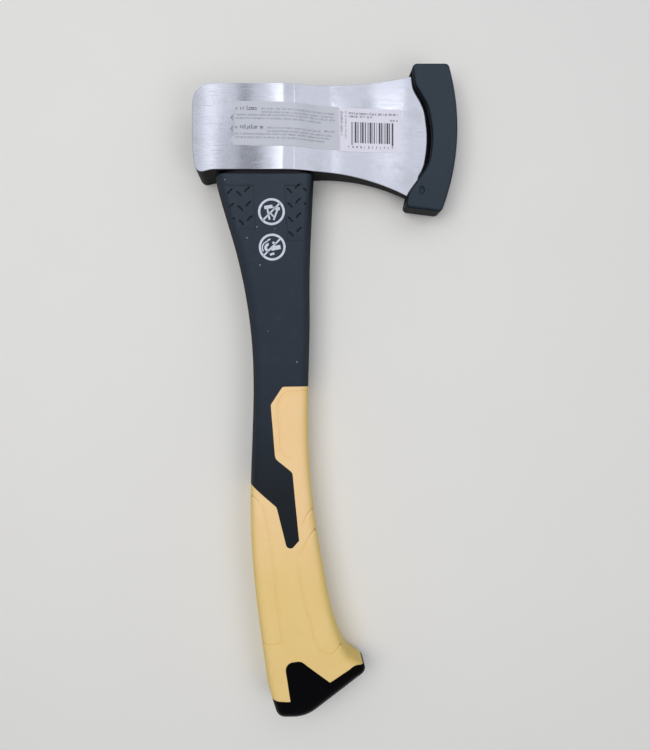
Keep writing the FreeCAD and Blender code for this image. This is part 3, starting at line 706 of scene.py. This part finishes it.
class Print:
    """Flat marks laid on a surface: each is cut into small patches that follow the surface."""

    def __init__(self, name, ground, slot, material, lift, turn=0.0):
        self.name = name
        self.slot = slot
        self.material = material
        self.lift = lift
        self.turn = math.radians(turn)
        self.form = bmesh.new()
        surface = ground.data
        places = [vertex.co / MM for vertex in surface.vertices]
        faces = [polygon.vertices[:] for polygon in surface.polygons]
        self.tree = BVHTree.FromPolygons(places, faces)

    def spot(self, x, y):
        """A corner on the surface below (x, y), after the print's own turn about the origin."""
        swung = Vector((x, y))
        swung.rotate(Matrix.Rotation(self.turn, 2))
        x, y = swung
        hit = self.tree.ray_cast(Vector((x, y, 100)), Vector((0, 0, -1)))[0]
        return self.form.verts.new(Vector((x, y, hit.z + self.lift)) * MM)

    def patch(self, corners):
        """One flat mark with three or more corners."""
        self.form.faces.new([self.spot(x, y) for x, y in corners])

    def bar(self, left, bottom, right, top):
        """An upright rectangle, cut along X where it is long."""
        count = max(1, math.ceil((right - left) / SURFACE_STEP))
        for index in range(count):
            x0 = left + (right - left) * index / count
            x1 = left + (right - left) * (index + 1) / count
            self.patch([(x0, bottom), (x1, bottom), (x1, top), (x0, top)])

    def stroke(self, start, end, width):
        """A straight stroke of this width from start to end."""
        start, end = Vector(start), Vector(end)
        side = (end - start).orthogonal().normalized() * width / 2
        count = max(1, math.ceil((end - start).length / SURFACE_STEP))
        for index in range(count):
            a = start.lerp(end, index / count)
            b = start.lerp(end, (index + 1) / count)
            self.patch([a + side, b + side, b - side, a - side])

    def ring(self, x, y, radius, width, first=0, last=360):
        """A ring, or the part of it between two angles in degrees."""
        count = max(3, round((last - first) / RING_STEP))
        for index in range(count):
            angles = [math.radians(first + (last - first) * (index + i) / count) for i in (0, 1)]
            near, far = radius - width / 2, radius + width / 2
            self.patch([(x + far * math.cos(angles[0]), y + far * math.sin(angles[0])),
                        (x + far * math.cos(angles[1]), y + far * math.sin(angles[1])),
                        (x + near * math.cos(angles[1]), y + near * math.sin(angles[1])),
                        (x + near * math.cos(angles[0]), y + near * math.sin(angles[0]))])

    def text(self, chance, x, y, length, height, weight=1.0, down=False):
        """A row of made-up letters from (x, y); with down it runs down the page."""
        at = 0.0
        while at < length:
            for _ in range(chance.randint(2, 9)):
                width = height * LETTER_WIDTH
                for left, bottom, right, top in chance.choice(LETTERS):
                    x0 = at + left * width
                    x1 = at + (left + (right - left) * weight) * width
                    if x1 > length:
                        continue
                    y0, y1 = bottom * height, top * height
                    if down:
                        self.patch([(x + y0, y - x0), (x + y0, y - x1), (x + y1, y - x1),
                                    (x + y1, y - x0)])
                    else:
                        self.patch([(x + x0, y + y0), (x + x1, y + y0), (x + x1, y + y1),
                                    (x + x0, y + y1)])
                at += width * LETTER_PITCH
            at += height * WORD_GAP

    def made(self):
        """Turns the marks into a piece that rides on the hatchet, seen from above."""
        bmesh.ops.remove_doubles(self.form, verts=self.form.verts, dist=WELD * MM)
        for face in self.form.faces:
            face.normal_update()
            if face.normal.z < 0:
                face.normal_flip()
        return piece(self.name, self.form, "hatchet", self.slot, self.material)


def add_film(name, slot, material):
    """A label's film, a trace thinner than the CAD one so that its print fits inside the box."""
    form = welded(name)
    for vertex in form.verts:
        if any(face.normal.z > 0.5 for face in vertex.link_faces):
            vertex.co.z -= FILM_DROP * MM
    for face in form.faces:
        face.smooth = True
    film = piece(name.replace("label", "film"), form, "hatchet", slot, material)
    film.data.set_sharp_from_angle(angle=SHARP)
    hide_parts(name)
    return film


CARE_TURN = -1.1                   # lean of the care label's print, in degrees
# Rows of small print on the care label: x, y, length.
CARE_ROWS = [(-2.0, 9.2, 40.6), (-2.0, 7.35, 40.0), (-16.0, 5.7, 55.0), (-16.0, 3.85, 47.0),
             (1.5, -1.2, 29.5), (1.5, -3.05, 36.5), (-16.0, -4.75, 52.0), (-16.0, -6.6, 49.0)]


def add_care_print(film, ink):
    """Two headings with a round mark each, over rows of small print."""
    chance = random.Random(7)
    care = Print("care_print", film, "clear_film", ink, INK_LIFT, CARE_TURN)
    for x, y, length in CARE_ROWS:
        care.text(chance, x, y - 0.45, length, 0.8)
    for y, length in ((8.3, 8.9), (-1.9, 13.0)):
        care.text(chance, -13.5, y, length, 1.55, 1.5)
        care.ring(-15.6, y + 0.6, 0.55, 0.3)
    care.text(chance, 33.0, -1.2, 6.0, 0.95, 1.4)
    care.made()


def add_code_print(film, ink):
    """Two rows down the side, three lines, and a row of random bars over twelve letters."""
    chance = random.Random(11)
    code = Print("code_print", film, "white_film", ink, INK_LIFT)
    code.text(chance, 42.2, 10.4, 14.0, 1.0, 1.2, down=True)
    code.text(chance, 44.7, 10.4, 15.0, 0.7, down=True)
    code.text(chance, 46.8, 8.9, 28.0, 1.05, 1.3)
    code.text(chance, 46.8, 7.2, 13.0, 1.0, 1.3)
    code.text(chance, 70.2, 5.6, 4.6, 0.95, 1.3)
    x = 48.2
    while x < 72.0:
        width = chance.choice((0.3, 0.3, 0.6, 0.6, 0.95))
        low = -8.2 if x < 49.5 or x > 70.8 else -7.0
        code.bar(x, low, x + width, 4.7)
        x += width + chance.choice((0.35, 0.35, 0.65, 0.95))
    for index in range(12):
        code.text(chance, 46.6 + 2.24 * index, -9.9, 1.2, 1.25, 1.1)
    code.made()


# Both signs are white rings with a slash, over pictures kept very plain: two tools in the upper
# one, and a rounded shape with a bar in the lower one.
SIGN_PLACES = ((3.7, -47.1), (4.1, -66.5))
SIGN_RADIUS = 6.75
SIGN_LINE = 1.25
SLASH_LINE = 0.95


def add_signs(jacket, ink):
    """The two round signs below the head."""
    signs = Print("signs", jacket, "white_film", ink, INK_LIFT)
    reach = SIGN_RADIUS * math.sqrt(0.5)
    for x, y in SIGN_PLACES:
        signs.ring(x, y, SIGN_RADIUS, SIGN_LINE)
        signs.stroke((x - reach, y - reach), (x + reach, y + reach), SLASH_LINE)
    x, y = SIGN_PLACES[0]
    signs.stroke((x - 3.9, y + 2.2), (x + 0.6, y + 2.9), 1.9)
    signs.stroke((x - 2.2, y + 1.4), (x - 1.0, y - 4.4), 1.0)
    signs.stroke((x + 0.9, y + 1.9), (x + 4.6, y + 1.5), 1.7)
    signs.stroke((x + 3.2, y + 0.8), (x + 1.2, y - 4.6), 1.0)
    signs.stroke((x - 1.1, y - 0.2), (x + 1.6, y - 3.2), 0.8)
    x, y = SIGN_PLACES[1]
    signs.ring(x - 1.9, y - 0.3, 1.7, 1.5, 90, 270)
    signs.ring(x - 1.9, y - 0.3, 3.5, 0.7, 100, 215)
    signs.stroke((x - 0.6, y - 0.9), (x + 4.6, y + 0.1), 2.3)
    signs.stroke((x + 0.2, y + 2.6), (x + 2.0, y + 1.7), 1.2)
    signs.stroke((x - 1.2, y - 4.2), (x + 1.2, y - 3.4), 1.2)
    signs.stroke((x - 2.6, y + 3.6), (x - 1.0, y + 4.4), 0.8)
    signs.made()


# Pale dust on the jacket, as x, y and length of each fleck.
FLECKS = [(-21.9, -29.5, 0.9), (-4.3, -55.4, 1.1), (5.6, -56.5, 0.8), (-9.8, -61.5, 1.0),
          (-2.6, -76.3, 1.3), (1.8, -112.7, 0.8), (17.7, -129.7, 1.2)]


def add_flecks(jacket, ink):
    """Each fleck is a small four-cornered flake, turned at random."""
    chance = random.Random(3)
    dust = Print("dust_flecks", jacket, "white_film", ink, INK_LIFT)
    for x, y, length in FLECKS:
        angle = chance.uniform(0, math.pi)
        step = Vector((math.cos(angle), math.sin(angle))) * length / 2
        middle = Vector((x, y))
        across = step.orthogonal() * chance.uniform(0.25, 0.45)
        dust.patch([middle - step, middle - across, middle + step, middle + across * 0.7])
    dust.made()


# ---------------------------------------------------------------- stage

FLOOR_DROP = 0.05
FLOOR_SIZE = 3000.0


def add_floor():
    """A plain pale tabletop just under the axe."""
    bpy.ops.mesh.primitive_plane_add(size=FLOOR_SIZE * MM, location=(0, 0, -FLOOR_DROP * MM))
    floor = bpy.context.object
    floor.name = "floor"
    finish = Finish("floor")
    cloud = finish.noise(finish.place(), 0.01, 2)
    floor.data.materials.append(finish.finish(
        Base_Color=finish.blend(cloud, (0.83, 0.83, 0.82, 1), (0.86, 0.86, 0.85, 1)),
        Roughness=0.85,
    ))


# Each softbox hangs level: its centre, its width and length, its radiance and its tint. They
# hang where the flat cheek, seen from the camera's place, mirrors them as its bright and dark
# bands; from other sides the cheek mirrors other parts of the room.
COOL = (0.98, 0.985, 1.015)
WARM = (1.03, 1.0, 0.96)
SOFTBOXES = {
    "overhead_left": ((-270, 290, 640), (340, 460), 0.54, COOL),
    "overhead_dim": ((-81, 385, 639), (39, 270), 0.82, COOL),
    "overhead_dim_near": ((-81, 155, 639), (39, 190), 0.5, COOL),
    "overhead_gap": ((-38, 377, 640), (16, 284), 0.8, COOL),
    "overhead_slit": ((-48.5, 145, 640), (3, 180), 0.9, COOL),
    "overhead_right": ((330, 290, 640), (718, 460), 0.76, COOL),
    "left_strip": ((-102, 260, 600), (17, 320), 0.82, COOL),
    "middle_strip": ((6, 290, 600), (26, 160), 1.25, COOL),
    "middle_strip_near": ((6, 150, 600), (26, 100), 0.98, COOL),
    "glow": ((230, 264, 600), (10, 32), 3.4, COOL),
    "glow_near": ((228, 180, 600), (10, 26), 1.5, COOL),
}
# The two large lamps light everything softly. Glossy rays don't see them.
LAMPS = {
    "key": ((-330, -80, 900), (600, 600), 3.3, WARM),
    "fill": ((420, -420, 700), (400, 400), 2.1, WARM),
}
AIM = Vector((20, -140, 0))
WORLD_TONE = (0.29, 0.3, 0.315)


def add_lamp(name, place, size, radiance, tint):
    """A rectangular area light that faces straight down."""
    data = bpy.data.lights.new(name, "AREA")
    data.shape = "RECTANGLE"
    data.size, data.size_y = (side * MM for side in size)
    data.energy = radiance * math.pi * data.size * data.size_y
    data.color = tint
    lamp = bpy.data.objects.new(name, data)
    lamp.location = Vector(place) * MM
    bpy.context.scene.collection.objects.link(lamp)
    return lamp


def add_lights():
    for name, settings in SOFTBOXES.items():
        add_lamp(name, *settings)
    for name, settings in LAMPS.items():
        lamp = add_lamp(name, *settings)
        toward = AIM - Vector(settings[0])
        lamp.rotation_euler = toward.to_track_quat("-Z", "Y").to_euler()
        lamp.visible_glossy = False


def add_world():
    world = bpy.data.worlds.new("studio")
    world.use_nodes = True
    world.node_tree.nodes["Background"].inputs["Color"].default_value = (*WORLD_TONE, 1)
    bpy.context.scene.world = world
    bpy.context.scene.view_settings.view_transform = "Standard"


# ---------------------------------------------------------------- the scene

add_camera()
add_world()
add_floor()
add_lights()

add_head(ground_steel(), edge_paint(), honed_steel())
give("fibreglass_core", fibre_rod())
give("eye_epoxy", cast_resin())
give("eye_seal", foam_rubber())
give("handle_jacket", moulded_plastic("jacket_plastic", colour(32, 43, 56), colour(38, 49, 63),
                                      0.4, 0.05, colour(4, 3, 5)))
add_grip(grip_rubber())
give("blade_guard", moulded_plastic("guard_plastic", colour(22, 38, 53), colour(29, 45, 61),
                                    0.4, 0.04))

care_film = add_film("care_label", "clear_film",
                     label_film("clear_film", colour(206, 209, 217), colour(197, 200, 210),
                                0.34, 0.5))
code_film = add_film("code_label", "white_film",
                     label_film("white_film", colour(234, 233, 247), colour(226, 225, 241),
                                0.4, 0.2))
add_care_print(care_film, print_ink("grey_ink", colour(104, 108, 122), colour(124, 128, 142)))
add_code_print(code_film, print_ink("dark_ink", colour(64, 66, 76), colour(92, 94, 106)))
white_ink = print_ink("white_ink", colour(222, 228, 242), colour(196, 203, 220))
add_signs(nodes["handle_jacket"], white_ink)
add_flecks(nodes["handle_jacket"], white_ink)
